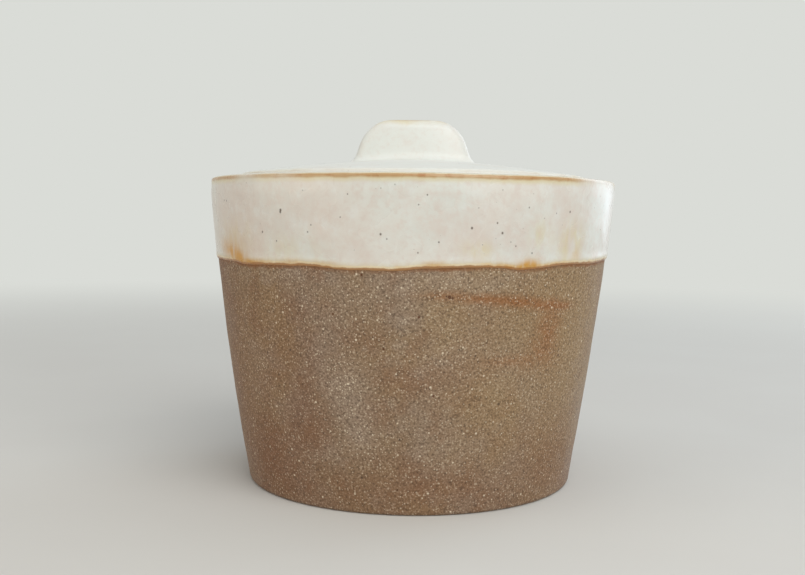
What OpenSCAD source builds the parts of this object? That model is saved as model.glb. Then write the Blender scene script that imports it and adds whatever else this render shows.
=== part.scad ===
// Stoneware jar for keeping miso, with an inset domed lid.
// Tapered slab-built body, a white glaze over its upper band, and a lid with a tab handle.
// Millimetres, +Z up, origin at the middle of the foot, on the table.

/* [Jar] */
// Outside diameter of the clay at the rim
rim_d = 135; // [110:1:170]
// Outside diameter of the clay at the foot
foot_d = 109; // [90:1:140]
// Height of the rim above the table
jar_h = 100; // [80:1:140]
// Outward bow of the wall half way up
belly = 1.2; // [0:0.1:4]
// Thickness of the wall
wall_t = 7; // [5:0.5:10]
// Thickness of the base slab
base_t = 8; // [5:0.5:12]
// Bevel under the outer edge of the foot
foot_bevel = 1.4; // [0.5:0.1:3]
// Rounding of the rim's two edges
rim_round = 0.9; // [0.5:0.1:2]
// Size of the smoothed corner between floor and wall
corner_size = 7; // [3:0.5:12]

/* [Lid seat] */
// Depth of the seat below the rim
seat_drop = 3.5; // [3:0.1:8]
// Width of the seat ring's flat top
seat_w = 6; // [4:0.1:9]
// Height of the seat ring where it meets the wall
seat_h = 10; // [8:0.5:16]
// Height of the seat ring's upright inner face
seat_face_h = 3.5; // [3:0.1:6]
// Rounding of the seat ring's inner edge
seat_round = 1; // [0.4:0.1:1.4]

/* [Lid] */
// Gap between the lid's glazed edge and the glazed rim
lid_gap = 0.8; // [0.5:0.1:2]
// Thickness of the lid at its edge
lid_t = 4.6; // [4:0.1:9]
// Rise of the lid's top from its edge to its middle
lid_rise = 5.9; // [2:0.1:12]
// Shape of the dome: 1 is a cone and 2 is a bowl
dome_power = 1.5; // [1.1:0.1:2.5]
// Rounding of the lid's upper edge
lid_round = 2.2; // [1:0.1:3]
// Rounding of the lid's lower edge
lid_under_round = 1; // [0.4:0.1:1.5]
// Hollow under the lid, from its flat border to its middle
hollow_rise = 5; // [1:0.1:8]

/* [Handle] */
// Length of the handle at its foot
handle_w = 39.5; // [30:0.5:60]
// Length of the handle at its top, before the corners are rounded
handle_top_w = 29.5; // [22:0.5:50]
// Height of the handle above the middle of the lid
handle_h = 13.3; // [10:0.1:25]
// Thickness of the handle at its foot
handle_t = 10; // [8:0.5:16]
// Thickness of the handle at its top, before the edges are rounded
handle_top_t = 8; // [7:0.5:12]
// Rounding of the outline's two upper corners
handle_corner = 7.5; // [3.5:0.5:9]
// Rounding of the handle's long upper edges
handle_edge = 3; // [1:0.1:3.4]
// Radius of the clay smoothed round the handle's foot
handle_fillet = 2.6; // [0.5:0.1:3.5]
// Squareness of the handle in plan: 2 is an ellipse
handle_power = 3; // [2:0.1:5]

/* [Glaze] */
// Thickness of the coats of glaze
glaze_t = 0.5; // [0.3:0.05:1]
// Depth of the dipped band on the outside of the jar, from the rim down to the glaze line
dip_depth = 26.5; // [12:0.5:60]
// Height of the glaze line's waves, above and below its mean
wave_h = 0.5; // [0.1:0.1:2]
// Length of the glaze line's main wave, across the jar
wave_length = 68; // [30:1:120]
// Bare clay left below the rounding of the rim's outer edge
rim_bare = 0.4; // [0.1:0.1:2]
// Bare clay left beside the faces that bear on each other
seat_bare = 1; // [0.5:0.1:1.5]

/* [Hidden] */
$fn = 128;

// Points along a curve, along a rounding and round the handle
curve_steps = 12;
round_steps = 5;
handle_steps = 44;
wave_steps = 64;

// Levels
rim_shoulder_z = jar_h - rim_round;
seat_z = jar_h - seat_drop;
seat_foot_z = seat_z - seat_h;
corner_top_z = base_t + corner_size;
glaze_line_z = jar_h - dip_depth;
band_top_z = rim_shoulder_z - rim_bare;
band_low_z = glaze_line_z - wave_h;
lid_edge_z = seat_z + lid_t;
lid_mid_z = lid_edge_z + lid_rise;

// Radii
seat_inner_r = inner_r(seat_z) - seat_w;
lid_r = inner_r(seat_z) - 2 * glaze_t - lid_gap;
hollow_r = seat_inner_r - seat_bare;

// The flare of the handle's foot ends at this slope, in degrees from upright, and at this height
flare_slope = 55;
flare_h = handle_fillet * sin(flare_slope);

// The handle's clay reaches into the lid before it is cut to the lid's top
handle_sink = lid_t / 3;

// The glaze line's main wave and a shorter one: their shares of the height, their rate and their phase
main_wave = 0.7;
main_phase = -20;
short_wave = 1 - main_wave;
short_rate = 2.6;
short_phase = 50;

// Fired clay and glaze colours
clay = [0.42, 0.35, 0.28];
dark_clay = [0.36, 0.29, 0.23];
white_glaze = [0.86, 0.84, 0.78];

// Radius of the clay's outside and inside at a height
function outer_r(z) =
    let (share = z / jar_h)
    (foot_d + (rim_d - foot_d) * share) / 2 + 4 * belly * share * (1 - share);
function inner_r(z) = outer_r(z) - wall_t;

// Height of the lid's top and of the hollow under it, at a radius
function lid_top_z(r) = lid_edge_z + lid_rise * (1 - pow(r / lid_r, dome_power));
function hollow_z(r) = seat_z + hollow_rise * (1 - pow(min(r / hollow_r, 1), dome_power));

// Points [radius, height] along the wall's outside or inside
function outside(z_from, z_to) =
    [for (i = [0:curve_steps]) let (z = z_from + (z_to - z_from) * i / curve_steps) [outer_r(z), z]];
function inside(z_from, z_to) =
    [for (i = [0:curve_steps]) let (z = z_from + (z_to - z_from) * i / curve_steps) [inner_r(z), z]];

// Points along a rounding, and along a hollow corner that leaves two straight edges
function rounding(centre, radius, from, to) =
    [for (i = [0:round_steps])
        let (a = from + (to - from) * i / round_steps) centre + radius * [cos(a), sin(a)]];
function hollow_corner(start, corner, end) =
    [for (i = [0:round_steps])
        let (s = i / round_steps) (1 - s) * (1 - s) * start + 2 * s * (1 - s) * corner + s * s * end];

function reversed(list) = [for (i = [len(list) - 1:-1:0]) list[i]];
function after_first(list) = [for (i = [1:len(list) - 1]) list[i]];

// Direction to the left of a line from a to b, and of each point of a path, mitred at its corners.
// A point on the axis keeps to the axis.
function left_of(a, b) = let (d = (b - a) / norm(b - a)) [-d[1], d[0]];
function left_at(path, i) =
    let (
        last = len(path) - 1,
        before = left_of(path[max(i - 1, 0)], path[max(i, 1)]),
        after = left_of(path[min(i, last - 1)], path[min(i + 1, last)]),
        middle = (before + after) / norm(before + after)
    )
    path[i][0] == 0 ? [0, sign(middle[1])] : middle / (middle * before);

// Outline of a coat on the left of a path that has the clay on its right
module coat_outline(path) {
    face = [for (i = [0:len(path) - 1]) path[i] + glaze_t * left_at(path, i)];
    polygon(concat(path, reversed(face)));
}

// Paths on the clay, walked from the floor's middle up the inside, over the rim and down the outside
seat_ring_inner = concat(
    [[inner_r(seat_foot_z), seat_foot_z], [seat_inner_r, seat_z - seat_face_h]],
    rounding([seat_inner_r + seat_round, seat_z - seat_round], seat_round, 180, 90)
);
floor_corner = hollow_corner(
    [inner_r(base_t) - corner_size, base_t],
    [inner_r(base_t), base_t],
    [inner_r(corner_top_z), corner_top_z]
);
rim_inner_round = rounding(
    [inner_r(rim_shoulder_z) + rim_round, rim_shoulder_z], rim_round, 180, 90
);
rim_outer_round = rounding(
    [outer_r(rim_shoulder_z) - rim_round, rim_shoulder_z], rim_round, 90, 0
);

// Paths on the lid: its top from the middle out, and the hollow under it from the border in
lid_top = [for (i = [0:curve_steps])
    let (r = (lid_r - lid_round) * i / curve_steps) [r, lid_top_z(r)]];
lid_edge_round = rounding(
    [lid_r - lid_round, lid_top_z(lid_r - lid_round) - lid_round], lid_round, 90, 0
);
lid_hollow = [for (i = [curve_steps:-1:0])
    let (r = hollow_r * i / curve_steps) [r, hollow_z(r)]];

module base_slab() {
    color(dark_clay) rotate_extrude()
        polygon([[0, 0], [inner_r(0), 0], [inner_r(base_t), base_t], [0, base_t]]);
}

module jar_wall() {
    color(clay) rotate_extrude() polygon(concat(
        [[inner_r(0), 0], [inner_r(base_t), base_t]],
        floor_corner,
        after_first(inside(corner_top_z, seat_foot_z)),
        inside(seat_z, rim_shoulder_z),
        after_first(rim_inner_round),
        rim_outer_round,
        reversed(outside(band_low_z, band_top_z)),
        after_first(reversed(outside(foot_bevel, band_low_z))),
        [[outer_r(0) - foot_bevel, 0]]
    ));
}

module seat_ring() {
    color(clay) rotate_extrude() polygon(concat(seat_ring_inner, [[inner_r(seat_z), seat_z]]));
}

// The dip line's waves, as everything below the line across the jar's width
module below_glaze_line() {
    reach = max(rim_d, foot_d) / 2 + belly + 2 * glaze_t;
    wave_points = [for (i = [0:wave_steps])
        let (
            x = reach * (2 * i / wave_steps - 1),
            turn = 360 * x / wave_length,
            wave = main_wave * sin(turn + main_phase) + short_wave * sin(short_rate * turn + short_phase)
        )
        [x, glaze_line_z + wave_h * wave]];
    rotate([90, 0, 0]) linear_extrude(height = 2 * reach, center = true)
        polygon(concat(wave_points, [[reach, 0], [-reach, 0]]));
}

module outer_glaze() {
    color(white_glaze) difference() {
        rotate_extrude() coat_outline(reversed(outside(band_low_z, band_top_z)));
        below_glaze_line();
    }
}

module rim_glaze() {
    color(white_glaze) rotate_extrude() coat_outline(concat(
        inside(seat_z + seat_bare, rim_shoulder_z),
        after_first(rim_inner_round),
        [rim_outer_round[0]]
    ));
}

module inner_glaze() {
    color(white_glaze) rotate_extrude() coat_outline(concat(
        [[0, base_t]],
        floor_corner,
        after_first(inside(corner_top_z, seat_foot_z)),
        [seat_ring_inner[1], seat_ring_inner[2]]
    ));
}

module lid_plate() {
    color(clay) rotate_extrude() polygon(concat(
        lid_top,
        after_first(lid_edge_round),
        rounding([lid_r - lid_under_round, seat_z + lid_under_round], lid_under_round, 0, -90),
        lid_hollow
    ));
}

// Half-sizes of the handle at a height above the lid.
// The sides lean in, flare a little at the foot and round off at the top.
function leaning(foot, top, h) = (foot + (top - foot) * h / handle_h) / 2;
function flare(h) =
    h > flare_h ? 0 : handle_fillet - sqrt(pow(handle_fillet, 2) - pow(flare_h - h, 2));
function rounded_off(h, r) =
    let (up = h - (handle_h - r)) up < 0 ? 0 : r - sqrt(max(r * r - up * up, 0));
function half_length(h) = leaning(handle_w, handle_top_w, h) + flare(h) - rounded_off(h, handle_corner);
function half_thickness(h) = leaning(handle_t, handle_top_t, h) + flare(h) - rounded_off(h, handle_edge);

// A point of the handle's section: an ellipse squared off by handle_power
function squared(c) = sign(c) * pow(abs(c), 2 / handle_power);

// The handle as a loft of sections, whose feet follow the dome of the lid
module handle_loft(grow) {
    heights = concat(
        [for (i = [0:round_steps]) flare_h * i / round_steps],
        [for (i = [0:2 * round_steps])
            handle_h - handle_corner + handle_corner * sin(45 * i / round_steps)]
    );
    function ring(h, down) = [for (i = [0:handle_steps - 1])
        let (
            a = 360 * i / handle_steps,
            x = (half_length(h) + grow) * squared(cos(a)),
            y = (half_thickness(h) + grow) * squared(sin(a)),
            share = h / handle_h,
            dome = lid_top_z(norm([x, y])) - lid_mid_z
        )
        [x, y, lid_mid_z + h + grow * share + dome * (1 - share) - down]];
    rings = concat([ring(0, handle_sink)], [for (h = heights) ring(h, 0)]);
    count = len(rings);
    points = [for (r = rings) each r];
    sides = [for (k = [0:count - 2], i = [0:handle_steps - 1])
        let (
            j = (i + 1) % handle_steps,
            low = k * handle_steps,
            high = low + handle_steps
        )
        each [[low + i, high + i, high + j], [low + i, high + j, low + j]]];
    foot = [for (i = [0:handle_steps - 1]) i];
    top = [for (i = [handle_steps - 1:-1:0]) (count - 1) * handle_steps + i];
    polyhedron(points, concat(sides, [foot, top]));
}

module lid_handle() {
    color(clay) difference() {
        handle_loft(0);
        lid_plate();
    }
}

// One coat over the lid's top and the handle; on the lid it starts under the handle
module lid_glaze() {
    color(white_glaze) difference() {
        union() {
            rotate_extrude() coat_outline(concat(after_first(lid_top), after_first(lid_edge_round)));
            handle_loft(glaze_t);
        }
        handle_loft(0);
        lid_plate();
    }
}

module lid_under_glaze() {
    color(white_glaze) rotate_extrude() coat_outline(after_first(lid_hollow));
}

base_slab();
jar_wall();
seat_ring();
outer_glaze();
rim_glaze();
inner_glaze();
lid_plate();
lid_handle();
lid_glaze();
lid_under_glaze();
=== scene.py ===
"""Looks of a lidded stoneware jar for miso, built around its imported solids.

The clay is spun and then made a little uneven, as a hand-built jar is. The coats of glaze are draped over
it: the dipped band swells to a bead along its lower edge, and every coat runs thin over the arrises, where
the clay shows through as caramel.
"""

import math
import random
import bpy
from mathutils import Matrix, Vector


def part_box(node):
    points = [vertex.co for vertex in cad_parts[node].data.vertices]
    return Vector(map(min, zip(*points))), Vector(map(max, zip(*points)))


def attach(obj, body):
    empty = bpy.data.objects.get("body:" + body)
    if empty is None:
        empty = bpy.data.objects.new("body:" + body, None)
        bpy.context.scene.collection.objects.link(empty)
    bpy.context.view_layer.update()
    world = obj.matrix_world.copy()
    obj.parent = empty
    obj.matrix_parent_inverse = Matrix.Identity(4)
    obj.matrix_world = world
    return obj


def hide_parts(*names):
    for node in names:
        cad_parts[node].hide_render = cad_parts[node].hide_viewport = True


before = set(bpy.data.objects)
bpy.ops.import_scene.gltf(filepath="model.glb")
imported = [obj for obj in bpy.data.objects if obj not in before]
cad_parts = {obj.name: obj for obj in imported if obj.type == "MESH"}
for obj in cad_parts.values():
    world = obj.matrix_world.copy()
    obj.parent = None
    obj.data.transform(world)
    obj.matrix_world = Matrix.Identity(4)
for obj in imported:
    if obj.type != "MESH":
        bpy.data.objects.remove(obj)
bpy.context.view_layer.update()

from types import SimpleNamespace

import bmesh
import bpy
from bpy.props import FloatProperty, FloatVectorProperty, IntProperty, PointerProperty
from mathutils import Quaternion, Vector, noise

MM = 0.001

bl_info = {
    "name": "Miso Jar",
    "version": (1, 0, 0),
    "blender": (4, 5, 0),
    "location": "View3D > Sidebar > Miso Jar",
    "description": "Clay, glaze, light and camera for a lidded stoneware jar",
    "category": "Object",
}


def length(name, description, default):
    """A size in metres."""
    return FloatProperty(name=name, description=description, default=default, unit="LENGTH", precision=5)


def power(name, description, default):
    """A lamp's power in watts."""
    return FloatProperty(name=name, description=description, default=default, unit="POWER", min=0.0)


def slant(name, description, degrees):
    """An angle, given in degrees."""
    return FloatProperty(name=name, description=description, default=math.radians(degrees), subtype="ANGLE")


def number(name, description, default):
    """A plain number."""
    return FloatProperty(name=name, description=description, default=default)


def colour(name, description, red, green, blue):
    """A colour as it shows on a screen, from 0 to 255 for each part."""
    return FloatVectorProperty(
        name=name, description=description, subtype="COLOR_GAMMA", size=3, min=0.0, max=1.0,
        default=(red / 255, green / 255, blue / 255))


class MISOJAR_PG_sizes(bpy.types.PropertyGroup):
    """Sizes of the clay. Those that a solid's box gives are taken from it."""

    rim_z: length("Rim height", "Height of the rim above the table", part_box("jar_wall")[1].z)
    rim_r: length("Rim radius", "Outside radius of the clay, carried up to the rim's height", 67.5 * MM)
    foot_r: length("Foot radius", "Outside radius of the clay at the table", 54.5 * MM)
    belly: length("Belly", "Outward bow of the wall half way up", 1.2 * MM)
    wall: length("Wall", "Thickness of the wall", 7 * MM)
    floor_z: length("Floor height", "Height of the base slab's top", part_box("base_slab")[1].z)
    corner: length("Floor corner", "Size of the smoothed corner between floor and wall", 7 * MM)
    foot_round: length("Foot rounding", "Rounding under the edge of the foot", 1.4 * MM)
    rim_round: length("Rim rounding", "Rounding of the rim's two edges", 0.9 * MM)
    seat_z: length("Seat height", "Height of the ring that carries the lid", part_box("seat_ring")[1].z)
    seat_w: length("Seat width", "Width of the seat ring's flat top", 6 * MM)
    seat_h: length("Seat depth", "Height of the seat ring where it meets the wall", 10 * MM)
    seat_face: length("Seat face", "Height of the seat ring's upright inner face", 3.5 * MM)
    seat_round: length("Seat rounding", "Rounding of the seat ring's inner edge", 1 * MM)
    bare: length("Bare border", "Clay left bare beside the faces that bear on each other", 1 * MM)
    lid_r: length("Lid radius", "Radius of the lid's clay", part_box("lid_plate")[1].x)
    lid_z: length("Lid height", "Height of the middle of the lid's clay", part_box("lid_plate")[1].z)
    lid_rise: length("Lid rise", "Rise of the lid's top from its edge to its middle", 5.9 * MM)
    lid_hollow: length("Lid hollow", "Rise of the hollow under the lid", 5 * MM)
    lid_round: length("Lid rounding", "Rounding of the lid's upper edge", 2.2 * MM)
    lid_under: length("Lid foot rounding", "Rounding of the lid's lower edge", 1 * MM)
    dome_power: number("Dome", "Shape of the dome: 1 is a cone, 2 a bowl", 1.5)
    unevenness: length("Unevenness", "How far the hand-built wall swells and dips", 0.45 * MM)


class MISOJAR_PG_handle(bpy.types.PropertyGroup):
    """Sizes of the handle's clay, on the lid."""

    foot_length: length("Length", "Length of the handle at its foot", 39.5 * MM)
    top_length: length("Top length", "Length at the top, before the corners are rounded", 29.5 * MM)
    foot_thickness: length("Thickness", "Thickness of the handle at its foot", 10 * MM)
    top_thickness: length("Top thickness", "Thickness at the top, before the edges are rounded", 8 * MM)
    height: length("Height", "Height above the middle of the lid",
                   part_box("lid_handle")[1].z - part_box("lid_plate")[1].z)
    corner: length("Corner", "Rounding of the outline's two upper corners", 7.5 * MM)
    edge: length("Edge", "Rounding of the long upper edges", 3 * MM)
    fillet: length("Fillet", "Radius of the clay smoothed round the foot", 2.6 * MM)
    squareness: number("Squareness", "Shape in plan: 2 is an ellipse", 3.0)


class MISOJAR_PG_glaze(bpy.types.PropertyGroup):
    """Coats of glaze: their thickness, their edges and their colours."""

    coat: length("Coat", "Thickness of a coat of glaze", 0.45 * MM)
    bead: length("Bead", "Extra thickness where the glaze has run to its lower edge", 0.12 * MM)
    arris: length("Arris", "Thickness of the glaze where it runs thin over an edge", 0.08 * MM)
    rim_coat: length("Rim coat", "Thickness of the glaze on top of the rim", 0.3 * MM)
    dip: length("Dip", "Depth of the dipped band below the rim", 26.5 * MM)
    wave: length("Wave", "Height of the dip line's waves", 0.5 * MM)
    wave_length: length("Wave length", "Length of the dip line's main wave", 68 * MM)
    white: colour("White", "Glaze at its usual thickness", 215, 212, 203)
    cool: colour("Cool white", "Glaze where it lies thick", 211, 213, 205)
    lid_white: colour("Lid white", "Thicker glaze on the lid, and pale flecks", 220, 224, 220)
    blush: colour("Blush", "Glaze where it lies thin over the clay", 206, 192, 181)
    # Pale yellow of the bead, lighter than the glaze: its colour with the bead's highlight painted in
    cream: colour("Cream", "Bead along the lower edge", 230, 211, 170)
    straw: colour("Straw", "Yellowish stains", 205, 190, 140)
    caramel: colour("Caramel", "Glaze where it breaks over an edge", 176, 138, 92)
    amber: colour("Amber", "Iron bleeding into the lower edge", 194, 144, 66)
    russet: colour("Russet", "Thin line where the glaze ends on the clay", 160, 104, 48)
    speck: colour("Speck", "Iron specks in the glaze", 70, 48, 32)


class MISOJAR_PG_clay(bpy.types.PropertyGroup):
    """Colours of the bare clay."""

    body: colour("Body", "Most of the fired clay", 135, 110, 82)
    grey: colour("Grey", "Greyer patches", 139, 120, 103)
    red: colour("Red", "Redder patches", 121, 82, 54)
    olive: colour("Olive", "Yellower patches", 148, 122, 87)
    dust: colour("Dust", "Paler, dusty patches", 150, 132, 114)
    grog: colour("Grog", "Pale grains in the clay", 222, 206, 180)
    pit: colour("Pit", "Pits and dark grains", 66, 48, 35)
    iron: colour("Iron", "Spots of iron", 82, 44, 18)
    rust: colour("Rust", "Smears of iron", 141, 92, 50)
    toast: colour("Toast", "Clay toasted just below the glaze", 126, 80, 42)


class MISOJAR_PG_stage(bpy.types.PropertyGroup):
    """Camera, floor and light."""

    frame_w: IntProperty(name="Frame width", description="Width of the picture in pixels", default=805)
    focal: number("Focal length", "Focal length in pixels", 1003.1)
    camera_x: length("Camera side", "Camera's place to the side", -3.0 * MM)
    camera_y: length("Camera distance", "Camera's place in front of the jar", -344.3 * MM)
    camera_z: length("Camera height", "Camera's height above the table", 87.2 * MM)
    pitch: slant("Pitch", "Tilt down", 3.89)
    roll: slant("Roll", "Turn about the line of sight", 0.73)
    key: power("Key", "Large soft lamp in front, to the right and above", 11.0)
    window: power("Window", "Cool lamp behind, to the right, that lights the right edge", 3.8)
    overhead: power("Overhead", "Soft lamp above the lid", 2.5)
    fill: power("Fill", "Weak warm lamp to the left", 2.2)
    daylight: number("Daylight", "Strength of the even light from all round", 0.42)
    floor: colour("Floor", "Pale floor", 206, 205, 200)
    backdrop: colour("Backdrop", "Pale background", 218, 220, 215)


# Steps round the axis, for the wall, the coats on its outside and rim, the lid's coat, and the rest
WALL_STEPS = 360
COAT_STEPS = 480
LID_STEPS = 224
PLAIN_STEPS = 256
# Distance within which points are merged, and angle from which an edge is shaded as sharp
WELD = 1e-7
SHARP = math.radians(50)

# Layers of the wall's unevenness: strength, waves round the jar, a shift, and waves to the metre of height
WALL_SWELLS = ((1.0, 1.3, (0, 0), 14), (0.35, 5, (7, 0), 70), (0.12, 14, (0, 5), 200))
# Height in mm over which the wall grows uneven, so that the foot stays true
TRUE_FOOT = 12
# Waves of the rim's height round the jar, their shift, and their share of the wall's unevenness
RIM_WAVES = 2.2
RIM_SHIFT = Vector((0, 4, 0))
RIM_LIFT = 0.6
# Waves of the lid's top to the metre, and their height in mm
LID_WAVES = 28
LID_SWELL = 0.2
# Radius on the lid from which its rings turn into the handle's outline
BLEND_R = 31 * MM

# Long waves of the dip line: share of their height, how often in a wave length, phase in degrees
DIP_WAVES = ((0.7, 1, -20), (0.3, 2.6, 50))
# Fine waver of the dip line: height in mm, waves to the metre
DIP_WAVER = ((0.22, 150), (0.1, 420))
# Rises of the dip line to the right: height in mm, angles between which it rises
DIP_RISES = ((1.15, 32, 43), (0.4, 58, 70))
# Angles at which the rises have ended, behind the jar, and at which they start to fall
DIP_FALL = (150, 110)
# Places where the dipped glaze has run down: angle, half-width in degrees, drop in mm
GLAZE_RUNS = (
    (-72, 8, -0.4), (-52.5, 4, 0.5), (-45, 7, 0.75), (-18, 6, 0.5), (-3, 6, 0.4), (28, 4.5, 0.8),
    (98, 8, 0.7), (150, 5, 0.5), (-125, 9, 0.7), (-166, 5, 0.4),
)
# Height in mm above the dip line up to which the band follows its waves
DIP_FOLLOW = 14
# Rounding of the band's lower edge, and height and half-width of the bead above it, in mm
HEM_ROUND = 1.5
BEAD_UP = 1.6
BEAD_SPREAD = 1.2
# Heights in mm above the lower edge of the band's closest rows
HEM_ROWS = (0, 0.04, 0.1, 0.18, 0.28, 0.4, 0.55, 0.75, 1.0, 1.3, 1.7, 2.2, 2.8, 3.5)

# Angle on the rim's outer rounding where the band's coat and the rim's meet
JOIN = 70
# Share of that rounding, from the top down, at which the brown line lies
ARRIS_LEVEL = 0.55
# Places where the brown line along the rim is weaker: angle, half-width in degrees, by how much
LINE_GAPS = ((-49, 7, 0.75), (-34, 5, 0.45))
# Distance in mm over which the marks of the lower edge, the arrises and the toasted clay fade
HEM_REACH = 8.0
ARRIS_REACH = 4.0
TOAST_REACH = 4.0

# Grains in the materials: size of a cell that may hold one, and radius
FINE_GROG = (0.75 * MM, 0.32 * MM)
COARSE_GROG = (2.4 * MM, 0.45 * MM)
PITS = (3.6 * MM, 0.5 * MM)
PINHOLES = (3.4 * MM, 0.30 * MM)
# Smallest grain as a share of the largest, and share of a grain within its soft edge
LEAST_GRAIN = 0.4
GRAIN_CORE = 0.55

# Half-sizes of a soft patch past which nothing of it shows
PATCH_REACH = 3.0
# Soft patches round the jar: angle, height in mm, half-sizes in degrees and mm, strength.
# The last of the warm ones goes all round the foot.
RUST_MARKS = (
    (7, 65.9, 6, 1.1, 0.6), (18, 65, 7, 1.3, 0.9), (28, 63.9, 7, 1.5, 1.0), (38, 62.8, 6, 1.6, 1.0),
    (46, 62, 4, 1.2, 0.8), (40.5, 57, 4.5, 4.5, 0.75), (39, 51, 5.0, 4.5, 0.6), (38, 46, 8.0, 3.5, 0.35),
    (26, 46.4, 7, 1.6, 0.5), (112, 41, 9, 3, 0.6), (-150, 59, 12, 2, 0.6), (170, 31, 8, 4, 0.4),
)
PALE_MARKS = (
    (-15, 26, 7, 12, 0.8), (-19, 41, 7, 8, 0.6), (20, 69.3, 16, 4, 0.8), (14, 47, 8, 8, 0.4),
    (-12, 66, 9, 5, 0.3), (3, 43, 5, 6, 0.3), (4, 16, 7, 6, 0.3), (-22, 58, 10, 8, 0.4),
    (-47, 42, 5, 9, 0.4), (160, 35, 20, 12, 0.6), (-100, 52, 14, 10, 0.5),
)
# Redder patches. Those at the front left, the broadest at -66 degrees, also paint warm light reflected onto
# that side.
WARM_AND_BOUNCE_MARKS = (
    (-66, 40, 18, 34, 0.55), (-46, 14, 16, 16, 0.55), (-38, 62, 14, 14, 0.2), (-36, 46, 12, 12, 0.35),
    (-32, 30, 8, 10, 0.4), (48, 18, 14, 14, 0.6), (6, 10, 16, 6, 0.4), (-140, 45, 26, 14, 0.7),
    (95, 27, 16, 14, 0.5), (0, 0, 900, 16, 0.3),
)
# Yellower, lighter patches on the right, the side the lamps light: yellower clay, and painted light on that
# side.
SANDY_AND_LIT_SIDE_MARKS = (
    (46, 55, 20, 40, 0.9), (22, 57, 12, 12, 0.4), (16, 31, 12, 16, 0.4), (130, 51, 30, 20, 0.6),
)
BLUSH_MARKS = (
    (-58, 87, 26, 14, 0.7), (-26, 89, 12, 10, 0.25), (8, 85, 8, 7, 0.25), (26, 85, 10, 9, 0.35),
    (48, 87, 8, 12, 0.4), (140, 85, 26, 9, 0.5),
)
STAIN_MARKS = (
    (16, 78.5, 4, 2.5, 0.6), (33, 83.5, 3, 3.5, 0.5), (45, 80, 5, 6, 0.8), (-33, 78, 9, 4, 0.3),
    (-55, 82, 8, 5, 0.4), (120, 81, 9, 6, 0.6), (-160, 79, 7, 4, 0.5),
)
AMBER_MARKS = (
    (-62, 77.7, 3, 2.6, 0.45), (-57.5, 76.3, 3.5, 2.2, 0.6), (-53.5, 75.1, 4, 2.0, 0.9),
    (-47, 74.3, 5, 1.0, 0.8), (-56, 78.2, 8, 4, 0.4), (30.5, 75, 3, 1.6, 1.0), (25, 74.1, 6, 0.9, 0.9),
    (38, 74.2, 6, 0.7, 0.6), (47.5, 76.1, 2, 2, 0.4), (5, 74.7, 2.5, 0.9, 0.6), (-22, 74.7, 4, 0.9, 0.5),
    (-33, 74.7, 4, 0.9, 0.5), (100, 75.5, 5, 2.6, 0.8), (150, 74.9, 3, 1.8, 0.7), (-125, 75.9, 5, 3, 0.8),
    (-166, 74.5, 4, 1.4, 0.7),
)

# Iron spots on the front of the dipped band and of the clay: angle, height and radius in mm
BAND_SPOTS = (
    (-35, 89.4, 0.5), (-35.1, 88.9, 0.46), (-42, 83, 0.4), (-26, 85.3, 0.3), (-27, 83.3, 0.32),
    (-37, 80.5, 0.34), (-18, 87.6, 0.28), (-8, 83, 0.4), (-6.5, 81.7, 0.3), (-16, 94, 0.28), (3, 94, 0.3),
    (1, 91.3, 0.28), (14, 85, 0.42), (6, 81, 0.34), (20.5, 86.5, 0.35), (22, 83.7, 0.42), (29, 91, 0.3),
    (43, 90, 0.4), (1, 78, 0.3), (31, 78, 0.32), (26, 80, 0.3), (24.5, 81.2, 0.24), (38, 89.5, 0.26),
    (34, 88, 0.22),
)
CLAY_SPOTS = ((9.2, 65.5, 0.6), (10.0, 65.2, 0.45), (8.4, 65.7, 0.36), (-13, 71.5, 0.45), (-21, 60, 0.4))
# Spots strewn at random: how many, and the least and most of their angle, their height in mm and their radius
# in mm. On the lid the height's place is taken by the distance from its middle.
STREWN_BAND = (58, 55, 305, 76, 95, 0.24, 0.42)
STREWN_SPECKS = (90, -180, 180, 75, 97, 0.12, 0.22)
STREWN_IRON = (24, -180, 180, 8, 70, 0.3, 0.5)
STREWN_GROG = (190, -180, 180, 3, 71, 0.18, 0.4)
STREWN_LID = (44, -180, 180, 26, 56, 0.18, 0.4)
SEED = 7
# Height of the spots and grains above what they sit in, in mm
SPOT_H = 0.03
IRON_H = 0.04
GROG_H = 0.06

# Lamps: name, place and size in metres, and tint
LAMPS = (
    ("key", (0.46, -0.86, 0.78), (1.1, 1.1), (1.0, 0.985, 0.96)),
    ("window", (0.88, 0.71, 0.35), (0.7, 1.1), (0.74, 0.86, 1.0)),
    ("overhead", (0.1, 0.1, 1.35), (1.2, 1.2), (1.0, 1.0, 1.0)),
    ("fill", (-0.86, -0.34, 0.25), (0.8, 0.6), (1.0, 0.87, 0.70)),
)
DAYLIGHT_TINT = (0.95, 0.97, 1.0, 1.0)
# Radius of the floor, and distances from the jar between which it fades into the backdrop, in metres
FLOOR_R = 6
FLOOR_FADE = (0.18, 1.1)


# Numbers

def linear(screen):
    """A screen colour as the linear colour, with alpha, that a shader takes."""
    def channel(c):
        return c / 12.92 if c <= 0.04045 else ((c + 0.055) / 1.055) ** 2.4
    return (*[channel(c) for c in screen], 1.0)


def smooth(low, high, value):
    """0 at low, 1 at high, and a smooth step between."""
    share = min(max((value - low) / (high - low), 0.0), 1.0)
    return share * share * (3 - 2 * share)


def bump(distance, width):
    """1 at no distance, fading to 0 past width."""
    return math.exp(-(distance / width) ** 2)


def closeness(distance, reach):
    """1 at no distance, falling evenly to 0 at reach."""
    return max(0.0, 1 - max(distance, 0.0) / reach)


def spread(start, end, count):
    """Evenly spaced values, both ends included."""
    return [start + (end - start) * i / (count - 1) for i in range(count)]


def arc(centre, radius, start, end, count):
    """Points [radius, height] along an arc, with its angles in degrees."""
    def point(turn):
        return centre[0] + radius * math.cos(turn), centre[1] + radius * math.sin(turn)
    return [point(math.radians(angle)) for angle in spread(start, end, count)]


def front_angle(co):
    """Angle in degrees round the jar, 0 at the front and rising towards +X."""
    return math.degrees(math.atan2(co.x, -co.y))


def turned(angle, other):
    """Degrees from one angle round the jar to another, the short way."""
    return (angle - other + 180) % 360 - 180


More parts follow.
